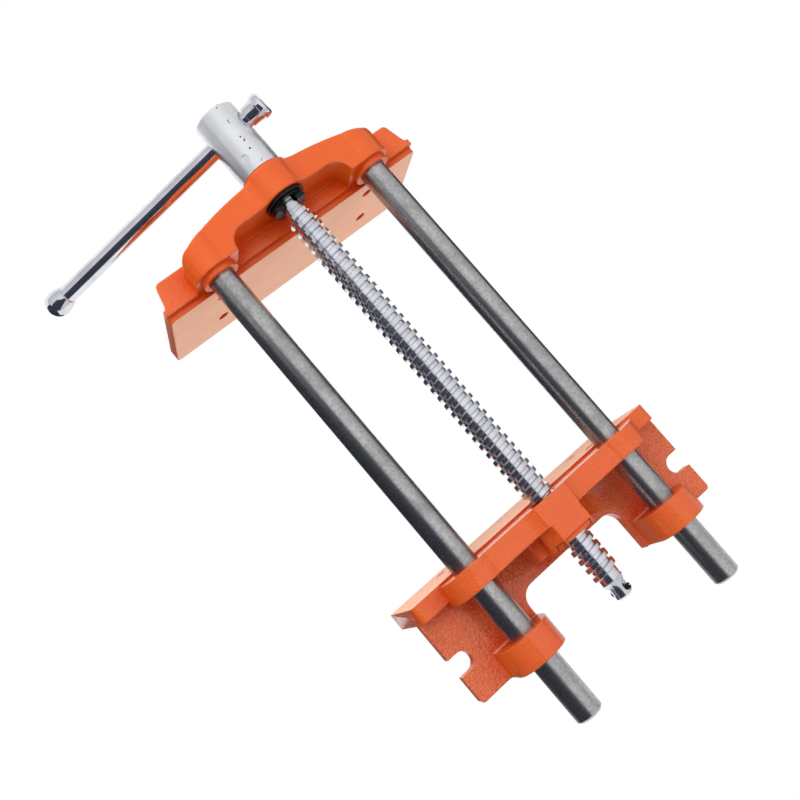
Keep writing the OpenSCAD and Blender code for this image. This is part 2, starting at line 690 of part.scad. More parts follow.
// Half widths of a tooth at its tip and at its root
tooth_tip_r = root_r + tooth_gap;
tooth_root_r = nut_bore_r + tooth_root;
tooth_slope = (foot_share - crest_share) * pitch / 2 / (thread_r - root_r);
tooth_tip_half = (1 - foot_share) * pitch / 2 + tooth_slope * tooth_gap - tooth_gap;
tooth_root_half = tooth_tip_half + tooth_slope * (tooth_root_r - tooth_tip_r);

// One tooth that follows the thread from angle tooth_from to angle tooth_to
module tooth(y) {
    section = [[tooth_root_r, -tooth_root_half], [tooth_root_r, tooth_root_half], [tooth_tip_r, tooth_tip_half],
        [tooth_tip_r, -tooth_tip_half]];
    skin = [for (i = [0 : tooth_steps], p = section)
        let (a = tooth_from + (tooth_to - tooth_from) * i / tooth_steps)
        [p[0] * cos(a), y - pitch * a / 360 + p[1], screw_z + p[0] * sin(a)]];
    strips = [for (i = [0 : tooth_steps - 1], j = [0 : 3]) let (k = 4 * i, m = (j + 1) % 4)
        [[k + j, k + 4 + j, k + m], [k + m, k + 4 + j, k + 4 + m]]];
    polyhedron(skin, concat([for (pair = strips, face = pair) face],
        [[0, 1, 2, 3], [for (j = [3 : -1 : 0]) 4 * tooth_steps + j]]));
}

module half_nut() color(dark_steel) {
    pad = rod_z + spring_pad_up;
    difference() {
        union() {
            translate([0, rear_y, 0]) {
                slab_xz(nut_front, nut_back) polygon(concat(
                    [[pivot_x, rod_z + pivot_up + nut_eye_r], [nut_shoulder[0], rod_z + nut_shoulder[1]],
                        [spring_x + spring_pad_r, pad], [spring_x - spring_pad_r, pad]],
                    arc_points(0, screw_z, nut_r, 128, nut_to, 8),
                    arc_points(0, screw_z, nut_bore_r, nut_to, nut_from, 12),
                    [[nut_elbow[0], rod_z + nut_elbow[1]], [pivot_x, rod_z + pivot_up - nut_eye_r]]));
                round_y(pivot_x, rod_z + pivot_up, nut_front, nut_back, nut_eye_r, nut_eye_r);
            }
            for (i = [0 : nut_rows - 1]) tooth(tooth_y + i * pitch);
        }
        translate([0, rear_y, 0])
            round_y(pivot_x, rod_z + pivot_up, nut_front - over, nut_back + over, pivot_r + run_fit, pivot_r + run_fit);
    }
}

module nut_pivot_pin() color(bright_steel) translate([0, rear_y, 0])
    round_y(pivot_x, rod_z + pivot_up, pocket_front - pivot_seat, pocket_back, pivot_r, pivot_r);

// Compression spring that presses the half nut on the screw
module nut_spring() color(bright_steel) {
    low = rod_z + spring_pad_up + spring_play + spring_wire_r;
    high = seat_low + spring_well - spring_play - spring_wire_r;
    steps = spring_turns * spring_facets;
    n = spring_sides;
    skin = [for (i = [0 : steps], j = [0 : n - 1])
        let (t = i / spring_facets, a = 360 * t, b = 360 * j / n,
            rise = min(1, max(0, (t - spring_flat) / (spring_turns - 2 * spring_flat))),
            r = spring_coil_r + spring_wire_r * cos(b))
        [spring_x + r * cos(a), spring_y + r * sin(a), low + (high - low) * rise + spring_wire_r * sin(b)]];
    strips = [for (i = [0 : steps - 1], j = [0 : n - 1]) let (k = n * i, m = (j + 1) % n)
        [[k + j, k + m, k + n + j], [k + m, k + n + m, k + n + j]]];
    polyhedron(skin, concat([for (pair = strips, face = pair) face],
        [[for (j = [n - 1 : -1 : 0]) j], [for (j = [0 : n - 1]) n * steps + j]]));
}

// Countersunk hole or head of a cover screw, widened past the cover's face by the given length
module cover_screw_cone(past) {
    slope = (cover_head_r - cover_screw_r) / cover_head_h;
    round_y(0, 0, housing_back - cover_head_h, housing_back + past, cover_screw_r, cover_head_r + slope * past);
}

module nut_cover() color(zinc) translate([0, rear_y, 0]) difference() {
    slab_xz(pocket_back, housing_back) housing_outline(cover_rim + cover_gap, housing_left_back,
        housing_right_back, seat_low - cover_gap);
    round_y(0, screw_z, pocket_back - over, housing_back + over, nut_bore_r, nut_bore_r);
    for (side = [-1, 1]) at_cover_screw(side) {
        round_y(0, 0, pocket_back - over, housing_back + over, cover_screw_r, cover_screw_r);
        cover_screw_cone(over);
    }
}

module cover_screws() color(blackened) translate([0, rear_y, 0])
    for (side = [-1, 1]) at_cover_screw(side) difference() {
        union() {
            round_y(0, 0, housing_back - cover_screw_l, housing_back - hex_key_h,
                cover_screw_r, cover_screw_r);
            cover_screw_cone(0);
        }
        translate([0, housing_back - hex_key_h, 0]) rotate([-90, 0, 0])
            cylinder(r = hex_key_r, h = hex_key_h + over, $fn = 6);
    }

rear_jaw();
front_jaw();
guide_rod(-1);  // guide_rod_left
guide_rod(1);  // guide_rod_right
rod_pin(-1);  // rod_pin_left
rod_pin(1);  // rod_pin_right
lead_screw();
spindle_head();
head_pin();
thrust_washer();
spring_washer();
neck_clip();
tail_pin();
handle_bar();
handle_knob_long();
handle_knob_short();
half_nut();
nut_pivot_pin();
nut_spring();
nut_cover();
cover_screws();
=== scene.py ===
"""Studio scene of a quick-release bench vise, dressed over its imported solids.

Lengths are in metres in the frame of the solids: X runs along the jaws, Y from the
front jaw to the rear one and Z up to the jaw tops. The origin lies midway between
the two bench bolt slots, on the face that seats against the bench.
"""

import logging
import math
from dataclasses import dataclass, field
from enum import Enum

import bmesh
import bpy
from mathutils import Matrix, Vector


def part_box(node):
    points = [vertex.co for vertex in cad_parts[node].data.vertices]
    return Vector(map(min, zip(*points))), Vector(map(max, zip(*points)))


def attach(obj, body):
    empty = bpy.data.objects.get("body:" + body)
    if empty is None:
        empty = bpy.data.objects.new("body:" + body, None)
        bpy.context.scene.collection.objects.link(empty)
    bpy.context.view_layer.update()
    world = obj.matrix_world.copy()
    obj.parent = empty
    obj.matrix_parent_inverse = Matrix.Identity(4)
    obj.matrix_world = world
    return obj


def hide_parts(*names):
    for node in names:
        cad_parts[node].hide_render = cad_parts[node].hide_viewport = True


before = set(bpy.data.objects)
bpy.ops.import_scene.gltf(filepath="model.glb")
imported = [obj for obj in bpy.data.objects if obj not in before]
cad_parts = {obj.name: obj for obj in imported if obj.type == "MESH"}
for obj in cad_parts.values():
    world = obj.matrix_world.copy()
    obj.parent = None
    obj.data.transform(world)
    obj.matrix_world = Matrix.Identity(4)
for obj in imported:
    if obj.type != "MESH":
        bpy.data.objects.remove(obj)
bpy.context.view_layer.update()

LOG = logging.getLogger("bench_vise")
MM = 0.001


class Body(Enum):
    """Bodies of the vise that carry pieces made here."""

    REAR = "rear"
    SCREW = "screw"
    HANDLE = "handle"


Colour = tuple[float, float, float]
Socket = bpy.types.NodeSocket


class NodeBench:
    """Lays out the shader nodes of one material."""

    def __init__(self, name: str) -> None:
        """Starts an empty material.

        Args:
            name: Name of the material.
        """
        self.material = bpy.data.materials.new(name)
        self.material.use_nodes = True
        self.tree = self.material.node_tree
        self.tree.nodes.clear()
        self.output = self.add("ShaderNodeOutputMaterial")
        self.place = self.add("ShaderNodeTexCoord").outputs["Object"]

    def add(self, kind: str, **settings: object) -> bpy.types.Node:
        """Adds a node.

        Args:
            kind: Blender's type name of the node.
            **settings: Attributes to set on it.

        Returns:
            The new node.
        """
        node = self.tree.nodes.new(kind)
        for key, value in settings.items():
            setattr(node, key, value)
        return node

    def join(self, source: Socket, target: Socket) -> None:
        """Links one socket to another.

        Args:
            source: Output socket.
            target: Input socket.
        """
        self.tree.links.new(source, target)

    def stretched(self, scale: Colour, turn: Colour = (0.0, 0.0, 0.0)) -> Socket:
        """Scales and turns the piece's coordinates.

        Args:
            scale: Factors along X, Y and Z.
            turn: Turn about X, Y and Z in radians.

        Returns:
            The changed coordinates.
        """
        node = self.add("ShaderNodeMapping")
        node.inputs["Scale"].default_value = scale
        node.inputs["Rotation"].default_value = turn
        self.join(self.place, node.inputs["Vector"])
        return node.outputs["Vector"]

    def noise(
        self, scale: float, detail: float = 3.0, rough: float = 0.5, place: Socket | None = None
    ) -> Socket:
        """Adds a noise pattern.

        Args:
            scale: Cells per metre.
            detail: Octaves.
            rough: Strength of the finer octaves.
            place: Coordinates, or None for the piece's own.

        Returns:
            The value of the noise.
        """
        node = self.add("ShaderNodeTexNoise")
        node.inputs["Scale"].default_value = scale
        node.inputs["Detail"].default_value = detail
        node.inputs["Roughness"].default_value = rough
        self.join(place or self.place, node.inputs["Vector"])
        return node.outputs["Fac"]

    def cells(self, scale: float, place: Socket | None = None) -> Socket:
        """Adds a cell pattern and returns the distance to each cell's middle.

        Args:
            scale: Cells per metre.
            place: Coordinates, or None for the piece's own.

        Returns:
            The distance value.
        """
        node = self.add("ShaderNodeTexVoronoi")
        node.inputs["Scale"].default_value = scale
        self.join(place or self.place, node.inputs["Vector"])
        return node.outputs["Distance"]

    def ramp(
        self, value: Socket, low: float, high: float, start: float = 0.0, end: float = 1.0
    ) -> Socket:
        """Maps a value from the range low to high onto start to end, and clamps it.

        Args:
            value: The value to map.
            low: Value that gives start.
            high: Value that gives end.
            start: Result at low.
            end: Result at high.

        Returns:
            The mapped value.
        """
        node = self.add("ShaderNodeMapRange")
        for key, number in zip(("From Min", "From Max", "To Min", "To Max"), (low, high, start, end)):
            node.inputs[key].default_value = number
        self.join(value, node.inputs["Value"])
        return node.outputs["Result"]

    def sums(self, operation: str, first: Socket, second: Socket | float) -> Socket:
        """Joins two values by a sum of the given kind.

        Args:
            operation: Blender's name of the operation.
            first: First value.
            second: Second value or a number.

        Returns:
            The result.
        """
        node = self.add("ShaderNodeMath", operation=operation)
        self.join(first, node.inputs[0])
        if isinstance(second, (int, float)):
            node.inputs[1].default_value = second
        else:
            self.join(second, node.inputs[1])
        return node.outputs[0]

    def blend(self, share: Socket, first: Socket | Colour, second: Socket | Colour) -> Socket:
        """Mixes two colours.

        Args:
            share: Share of the second colour.
            first: First colour.
            second: Second colour.

        Returns:
            The mixed colour.
        """
        node = self.add("ShaderNodeMix", data_type="RGBA")
        self.join(share, node.inputs[0])
        for slot, colour in ((6, first), (7, second)):
            if isinstance(colour, tuple):
                node.inputs[slot].default_value = (*colour, 1.0)
            else:
                self.join(colour, node.inputs[slot])
        return node.outputs[2]

    def bump(self, height: Socket, depth: float, base: Socket | None = None) -> Socket:
        """Turns a height into a normal.

        Args:
            height: Height from 0 to 1.
            depth: Depth of a height of 1, in metres.
            base: Normal to build on, or None.

        Returns:
            The normal.
        """
        node = self.add("ShaderNodeBump")
        node.inputs["Distance"].default_value = depth
        node.inputs["Strength"].default_value = 1.0
        self.join(height, node.inputs["Height"])
        if base is not None:
            self.join(base, node.inputs["Normal"])
        return node.outputs["Normal"]

    def rounded(self, radius: float) -> Socket:
        """Rounds the shading of sharp edges.

        Args:
            radius: Radius of the rounding.

        Returns:
            The rounded normal.
        """
        node = self.add("ShaderNodeBevel", samples=6)
        node.inputs["Radius"].default_value = radius
        return node.outputs["Normal"]

    def open_share(self, reach: float) -> Socket:
        """Finds how open the surroundings of a point are within reach.

        Args:
            reach: How far to look.

        Returns:
            1 in the open and less in a corner.
        """
        node = self.add("ShaderNodeAmbientOcclusion", samples=4)
        node.inputs["Distance"].default_value = reach
        return node.outputs["AO"]

    def edge_share(self, soft: Socket, low: float, high: float) -> Socket:
        """Finds edges, where the rounded normal leaves the true one.

        Args:
            soft: Rounded normal.
            low: Departure that counts as no edge.
            high: Departure that counts as a full edge.

        Returns:
            0 on a face and 1 on an edge.
        """
        dot = self.add("ShaderNodeVectorMath", operation="DOT_PRODUCT")
        self.join(soft, dot.inputs[0])
        self.join(self.add("ShaderNodeNewGeometry").outputs["Normal"], dot.inputs[1])
        return self.ramp(dot.outputs["Value"], 1.0 - low, 1.0 - high)

    def surface(self, **sockets: object) -> bpy.types.Node:
        """Adds the surface shader and links it to the output.

        Args:
            **sockets: Values by socket name, with _ for a space. A socket is linked, a number is set.

        Returns:
            The shader node.
        """
        shader = self.add("ShaderNodeBsdfPrincipled")
        for key, value in sockets.items():
            socket = shader.inputs[key.replace("_", " ")]
            if isinstance(value, bpy.types.NodeSocket):
                self.join(value, socket)
            elif isinstance(value, tuple):
                socket.default_value = (*value, 1.0)
            else:
                socket.default_value = value
        self.join(shader.outputs[0], self.output.inputs["Surface"])
        return shader


@dataclass(frozen=True)
class CastEnamel:
    """Glossy enamel over a sand casting, grained where the casting was left rough."""

    name: str
    grain_from: float
    flat_from: float
    flat_side: float
    paint: Colour = (0.62, 0.088, 0.003)
    # Deep red: a random darker tone, and the painted shade of corners and grain hollows.
    deep_red_and_shade: Colour = (0.66, 0.030, 0.003)
    worn: Colour = (0.84, 0.20, 0.05)
    # Clamping face colour: rubbed paint, with a painted sheen laid in.
    rubbed_and_sheen: Colour = (0.90, 0.52, 0.36)
    grained_pink: Colour = (0.76, 0.17, 0.07)
    pit: Colour = (0.22, 0.010, 0.003)
    corner: float = 14.0 * MM
    edge_radius: float = 0.9 * MM
    grain: float = 640.0
    grain_depth: float = 1.7 * MM
    grain_share: float = 1.0
    low_share: float = 0.35
    peel: float = 260.0
    peel_depth: float = 0.16 * MM
    wave: float = 85.0
    wave_depth: float = 0.7 * MM
    coat_roughness: float = 0.10

    def material(self) -> bpy.types.Material:
        """Makes the material.

        Returns:
            Enamel with orange peel, casting grain, pits and thin paint on the edges, painted shade in its
            corners and grain hollows, and a painted sheen on the clamping face.
        """
        bench = NodeBench(self.name)
        soft = bench.rounded(self.edge_radius)
        rough = self.rough_share(bench)
        flat = self.flat_share(bench)
        pits = bench.cells(self.grain)
        bumps = bench.noise(self.grain, 4.0, 0.6)
        grain = bench.sums("MULTIPLY", bench.sums("MULTIPLY", pits, bumps), rough)
        waves = bench.bump(bench.noise(self.wave, 1.0), self.wave_depth, soft)
        peel = bench.bump(bench.noise(self.peel, 2.0), self.peel_depth, waves)
        normal = bench.bump(grain, self.grain_depth, peel)
        cloud = bench.ramp(bench.noise(38.0, 3.0), 0.35, 0.7, 0.0, 0.2)
        colour = bench.blend(cloud, self.paint, self.deep_red_and_shade)
        # The clamping face is paler, partly from rubbed paint and partly from a painted reflection of the
        # white surroundings.
        colour = bench.blend(flat, colour, self.rubbed_and_sheen)
        # The grained casting is tinted paler and pinker.
        colour = bench.blend(bench.sums("MULTIPLY", rough, 0.75), colour, self.grained_pink)
        # Painted shade: the low spots of the grain are darkened towards the deep red.
        grain_hollow_shade = bench.sums("MULTIPLY", bench.ramp(bumps, 0.50, 0.36, 0.0, 0.35), rough)
        colour = bench.blend(grain_hollow_shade, colour, self.deep_red_and_shade)
        edges = bench.sums("MULTIPLY", bench.edge_share(soft, 0.03, 0.30), 0.5)
        colour = bench.blend(edges, colour, self.worn)
        # Painted shade: corners and recesses, found by occlusion within the corner reach, are darkened
        # towards the deep red.
        sky = bench.open_share(self.corner)
        colour = bench.blend(bench.ramp(sky, 0.85, 0.4, 0.0, 0.7), colour, self.deep_red_and_shade)
        speck = bench.ramp(bench.noise(900.0, 2.0), 0.66, 0.72, 0.0, 0.6)
        colour = bench.blend(bench.sums("MULTIPLY", speck, rough), colour, self.pit)
        dull = bench.sums("MULTIPLY", flat, 0.2)
        shine = bench.ramp(flat, 0.0, 1.0, 0.18, 0.08)
        coat = bench.ramp(flat, 0.0, 1.0, 0.7, 0.0)
        bench.surface(
            Base_Color=colour,
            Roughness=bench.sums("ADD", bench.ramp(bench.noise(90.0, 3.0), 0.3, 0.7, 0.28, 0.42), dull),
            Normal=normal,
            Specular_IOR_Level=bench.sums("MULTIPLY", shine, bench.ramp(sky, 0.35, 0.85, 0.15, 1.0)),
            Coat_Weight=bench.sums("MULTIPLY", coat, bench.ramp(sky, 0.5, 0.9)),
            Coat_Roughness=self.coat_roughness,
        )
        return bench.material

    def flat_share(self, bench: NodeBench) -> Socket:
        """Finds the clamping face, which was ground flat under the paint.

        Args:
            bench: The material's nodes.

        Returns:
            1 on the clamping face and 0 elsewhere.
        """
        facing = bench.add("ShaderNodeSeparateXYZ")
        bench.join(bench.add("ShaderNodeNewGeometry").outputs["Normal"], facing.inputs[0])
        split = bench.add("ShaderNodeSeparateXYZ")
        bench.join(bench.place, split.inputs[0])
        across = bench.ramp(bench.sums("MULTIPLY", facing.outputs["Y"], self.flat_side), 0.93, 0.98)
        above = bench.ramp(split.outputs["Z"], self.flat_from - 0.1 * MM, self.flat_from)
        return bench.sums("MULTIPLY", across, above)

    def rough_share(self, bench: NodeBench) -> Socket:
        """Finds the surfaces that were left as cast.

        Args:
            bench: The material's nodes.

        Returns:
            1 where the casting is grained and 0 on its machined and rubbed surfaces.
        """
        split = bench.add("ShaderNodeSeparateXYZ")
        bench.join(bench.place, split.inputs[0])
        above = bench.ramp(split.outputs["Z"], self.grain_from - 0.5 * MM, self.grain_from + 0.5 * MM)
        facing = bench.add("ShaderNodeSeparateXYZ")
        bench.join(bench.add("ShaderNodeNewGeometry").outputs["Normal"], facing.inputs[0])
        level = bench.sums("ABSOLUTE", facing.outputs["Z"], 0.0)
        share = bench.ramp(above, 0.0, 1.0, self.low_share, 1.0)
        cast = bench.sums("MULTIPLY", share, bench.ramp(level, 0.4, 0.9, 0.15, 1.0))
        return bench.sums("MULTIPLY", cast, self.grain_share)


@dataclass(frozen=True)
class DrawnSteel:
    """Oiled dark steel bar with a mottled skin and fine lines along it."""

    name: str
    metal: Colour = (0.56, 0.56, 0.565)
    stain: Colour = (0.17, 0.17, 0.168)
    mottle: float = 600.0
    line: float = 1400.0
    depth: float = 0.015 * MM
    edge_radius: float = 0.5 * MM

    def material(self) -> bpy.types.Material:
        """Makes the material.

        Returns:
            Dark steel with mottling, stains and drawing lines.
        """
        bench = NodeBench(self.name)
        along = bench.stretched((1.0, 0.03, 1.0))
        lines = bench.noise(self.line, 2.0, 0.5, along)
        mottle = bench.noise(self.mottle, 4.0, 0.65)
        clouds = bench.noise(60.0, 4.0, 0.6)
        colour = bench.blend(bench.ramp(mottle, 0.38, 0.62, 0.0, 0.35), self.metal, self.stain)
        colour = bench.blend(bench.ramp(clouds, 0.45, 0.75, 0.0, 0.45), colour, self.stain)
        height = bench.sums("ADD", mottle, lines)
        bench.surface(
            Base_Color=colour,
            Metallic=1.0,
            Roughness=bench.ramp(bench.sums("ADD", mottle, clouds), 0.7, 1.3, 0.24, 0.36),
            Normal=bench.bump(height, self.depth, bench.rounded(self.edge_radius)),
        )
        return bench.material


@dataclass(frozen=True)
class BrightPlate:
    """Bright plating with a faint wave and fine scratches."""

    name: str
    metal: Colour = (0.80, 0.81, 0.87)
    shade: Colour = (0.50, 0.51, 0.56)
    smooth: float = 0.07
    dull: float = 0.17
    wave: float = 0.02 * MM
    edge_radius: float = 0.3 * MM

    def material(self) -> bpy.types.Material:
        """Makes the material.

        Returns:
            Bright plating with scratches and cloudy patches.
        """
        bench = NodeBench(self.name)
        clouds = bench.noise(120.0, 4.0, 0.6)
        slanted = bench.stretched((1.0, 0.08, 0.6), (0.4, 0.2, 0.9))
        scratches = bench.noise(2600.0, 2.0, 0.5, slanted)
        colour = bench.blend(bench.ramp(clouds, 0.40, 0.75, 0.0, 0.6), self.metal, self.shade)
        soft = bench.rounded(self.edge_radius)
        bench.surface(
            Base_Color=colour,
            Metallic=1.0,
            Roughness=bench.ramp(bench.sums("ADD", clouds, scratches), 0.7, 1.3, self.smooth, self.dull),
            Normal=bench.bump(bench.sums("ADD", scratches, clouds), self.wave, soft),
        )
        return bench.material


@dataclass(frozen=True)
class SatinZinc:
    """Satin zinc over turned steel, with small dark pits."""

    name: str
    metal: Colour = (0.95, 0.965, 1.0)
    shade: Colour = (0.84, 0.86, 0.91)
    pit: Colour = (0.02, 0.02, 0.022)
    seam: float = 0.5 * MM
    turn_lines: float = 2200.0
    pit_scale: float = 480.0
    depth: float = 0.03 * MM
    edge_radius: float = 0.6 * MM

    def material(self) -> bpy.types.Material:
        """Makes the material.

        Returns:
            Satin zinc with turning lines and pits.
        """
        bench = NodeBench(self.name)
        lines = bench.noise(self.turn_lines, 2.0, 0.5, bench.stretched((0.05, 1.0, 0.05)))
        clouds = bench.noise(70.0, 4.0, 0.6)
        split = bench.add("ShaderNodeSeparateXYZ")
        bench.join(bench.place, split.inputs[0])
        wander = bench.sums("MULTIPLY", bench.noise(120.0, 2.0), 4.0 * MM)
        aside = bench.sums("SUBTRACT", bench.sums("ADD", wander, split.outputs["X"]), self.seam + 2.0 * MM)
        strip = bench.ramp(bench.sums("ABSOLUTE", aside, 0.0), 1.1 * MM, 0.7 * MM)
        pits = bench.sums("MULTIPLY", bench.ramp(bench.cells(self.pit_scale), 0.30, 0.22), strip)
        colour = bench.blend(bench.ramp(clouds, 0.3, 0.7, 0.0, 0.5), self.metal, self.shade)
        colour = bench.blend(pits, colour, self.pit)
        normal = bench.bump(lines, self.depth, bench.rounded(self.edge_radius))
        bench.surface(
            Base_Color=colour,
            Metallic=1.0,
            Roughness=bench.ramp(clouds, 0.3, 0.7, 0.27, 0.34),
            Normal=bench.bump(bench.ramp(pits, 0.0, 1.0, 1.0, 0.0), 0.3 * MM, normal),
        )
        return bench.material


@dataclass(frozen=True)
class BlackOxide:
    """Blackened steel with worn bright edges."""

    name: str
    metal: Colour = (0.022, 0.021, 0.022)
    worn: Colour = (0.22, 0.21, 0.21)
    edge_radius: float = 0.3 * MM

    def material(self) -> bpy.types.Material:
        """Makes the material.

        Returns:
            Blackened steel that shines through on its edges.
        """
        bench = NodeBench(self.name)
        soft = bench.rounded(self.edge_radius)
        speck = bench.noise(1300.0, 4.0, 0.6)
        share = bench.sums("MULTIPLY", bench.edge_share(soft, 0.05, 0.4), bench.ramp(speck, 0.4, 0.6))
        bench.surface(
            Base_Color=bench.blend(share, self.metal, self.worn),
            Metallic=0.85,
            Roughness=bench.ramp(speck, 0.3, 0.7, 0.22, 0.38),
            Normal=bench.bump(speck, 0.03 * MM, soft),
        )
        return bench.material


def dress(node: str, material: bpy.types.Material) -> None:
    """Gives a solid of the frame its finish.

    Args:
        node: Name of the solid.
        material: The finish.
    """
    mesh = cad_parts[node].data
    mesh.materials.clear()
    mesh.materials.append(material)
    LOG.info("dressed %s", node)


def as_object(shape: bmesh.types.BMesh, name: str, sharp: float) -> bpy.types.Object:
    """Makes an object of a finished shape, smooth but for its sharp edges.

    Args:
        shape: The shape, which is freed.
        name: Name of the object.
        sharp: Angle in degrees from which an edge stays sharp.

    Returns:
        The new object.
    """
    bmesh.ops.recalc_face_normals(shape, faces=shape.faces)
    mesh = bpy.data.meshes.new(name)
    shape.to_mesh(mesh)
    shape.free()
    for face in mesh.polygons:
        face.use_smooth = True
    mesh.set_sharp_from_angle(angle=math.radians(sharp))
    piece = bpy.data.objects.new(name, mesh)
    bpy.context.collection.objects.link(piece)
    return piece


@dataclass(frozen=True)
class Cut:
    """A straight cut along Y through a casting, given in millimetres by its outline in X and Z."""

    outline: tuple[tuple[float, float], ...]
    start: float
    end: float
    inward: tuple[float, float]

    def cutter(self, inset: float) -> bpy.types.Object:
        """Makes the prism that the cut takes away.

        Args:
            inset: How far the prism is moved inward.

        Returns:
            The prism.
        """
        shape = bmesh.new()
        corners = [shape.verts.new((x * MM, self.start * MM, z * MM)) for x, z in self.outline]
        face = shape.faces.new(corners)
        made = bmesh.ops.extrude_face_region(shape, geom=[face])["geom"]
        moved = [piece for piece in made if isinstance(piece, bmesh.types.BMVert)]
        bmesh.ops.translate(shape, vec=(0.0, (self.end - self.start) * MM, 0.0), verts=moved)
        across, rise = (share * inset for share in self.inward)
        bmesh.ops.translate(shape, vec=(across, 0.0, rise), verts=shape.verts)
        return as_object(shape, "cutter", 30.0)


@dataclass
class Castings:
    """The two enamelled castings."""

    rear_grain_from: float = -9.5 * MM
    front_grain_from: float = -17.5 * MM
    rear_flat_from: float = -16.0 * MM
    front_flat_from: float = -13.0 * MM
    rear_side: float = -1.0
    front_side: float = 1.0
    cover_inset: float = 0.9 * MM
    cuts: tuple[Cut, ...] = (
        Cut(((-32.0, -60.0), (32.0, -60.0), (32.0, -44.0), (-32.0, -44.0)), -40.0, -10.0, (0.0, 1.0)),
        Cut(
            ((-40.0, -60.0), (-9.2, -60.0), (-9.2, -44.5), (-21.2, -24.5), (-21.4, -24.4), (-40.0, -24.4)),
            -24.95, -10.0, (1.0, 0.3),
        ),
        Cut(
            ((10.3, -60.0), (40.0, -60.0), (40.0, -19.55), (12.5, -19.55), (11.5, -30.0), (10.3, -44.5)),
            -24.95, -10.0, (-1.0, 0.0),
        ),
    )

    def build(self) -> None:
        """Dresses both castings."""
        painted = CastEnamel(
            "enamel_rear", self.rear_grain_from, self.rear_flat_from, self.rear_side, edge_radius=1.4 * MM
        ).material()
        self.finish(self.trimmed("rear_jaw"), painted)
        self.finish(self.trimmed("nut_cover", self.cover_inset), painted)
        front = CastEnamel(
            "enamel_front", self.front_grain_from, self.front_flat_from, self.front_side,
            grain_share=0.3, edge_radius=2.0 * MM,
        )
        dress("front_jaw", front.material())

    def finish(self, piece: bpy.types.Object, material: bpy.types.Material) -> None:
        """Gives a cut piece its only finish.

        Args:
            piece: The piece.
            material: The finish.
        """
        piece.data.materials.clear()
        piece.data.materials.append(material)

    def trimmed(self, node: str, inset: float = 0.0) -> bpy.types.Object:
        """Copies a solid of the rear jaw and takes the cuts from the copy.

        Args:
            node: The solid to copy.
            inset: How far the cuts are moved inward.

        Returns:
            The cut copy, which stands for the solid.
        """
        shape = bmesh.new()
        shape.from_mesh(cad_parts[node].data)
        bmesh.ops.remove_doubles(shape, verts=shape.verts, dist=0.001 * MM)
        casting = as_object(shape, f"cut_{node}", 30.0)
        cutters = [cut.cutter(inset) for cut in self.cuts]
        for cutter in cutters:
            modifier = casting.modifiers.new("cut", "BOOLEAN")
            modifier.operation = "DIFFERENCE"
            modifier.solver = "EXACT"
            modifier.object = cutter
        graph = bpy.context.evaluated_depsgraph_get()
        done = bpy.data.meshes.new_from_object(casting.evaluated_get(graph))
        casting.modifiers.clear()
        casting.data = done
        for cutter in cutters:
            bpy.data.objects.remove(cutter)
        done.set_sharp_from_angle(angle=math.radians(18.0))
        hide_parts(node)
        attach(casting, Body.REAR.value)
        return casting


@dataclass
class GuideRods:
    """The two guide rods and their lock pins."""

    def build(self) -> None:
        """Dresses the rods and pins."""
        steel = DrawnSteel("drawn_steel").material()
        zinc = SatinZinc("zinc_pins").material()
        for side in ("left", "right"):
            dress(f"guide_rod_{side}", steel)
            dress(f"rod_pin_{side}", zinc)


